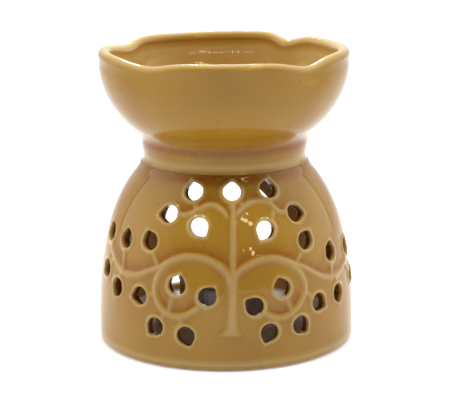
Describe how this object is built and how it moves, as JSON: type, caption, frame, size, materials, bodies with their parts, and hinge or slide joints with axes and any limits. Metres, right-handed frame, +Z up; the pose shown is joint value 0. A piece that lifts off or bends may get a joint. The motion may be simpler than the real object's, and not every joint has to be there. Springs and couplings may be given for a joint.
{
  "type": "essential oil burner",
  "caption": "Glazed ceramic oil burner: a pierced dome with a raised tree and leaf vents holds a tealight under a wavy-rimmed oil bowl.",
  "frame": {"origin": "on the surface that the burner stands on, under the middle of the foot", "axes": "+Z up through the dome and the bowl; the tree ornament faces -Y and the candle mouth +Y"},
  "size_m": [0.1044, 0.1052, 0.1196],
  "materials": {
    "honey_glaze": "gloss honey glaze",
    "cup_aluminium": "bright drawn sheet",
    "candle_wax": "waxy satin",
    "tab_steel": "tinned sheet",
    "wick_cotton": "braided cotton"
  },
  "bodies": {
    "burner": {"dome_body": "honey_glaze", "oil_bowl": "honey_glaze"},
    "tealight": {"tealight_cup": "cup_aluminium", "tealight_wax": "candle_wax", "wick_tab": "tab_steel", "wick": "wick_cotton"}
  },
  "joints": [
    {"name": "tealight_slide", "type": "slide", "parent": "burner", "child": "tealight", "axis": [0, 1, 0], "range_m": [0, 0.075]}
  ]
}
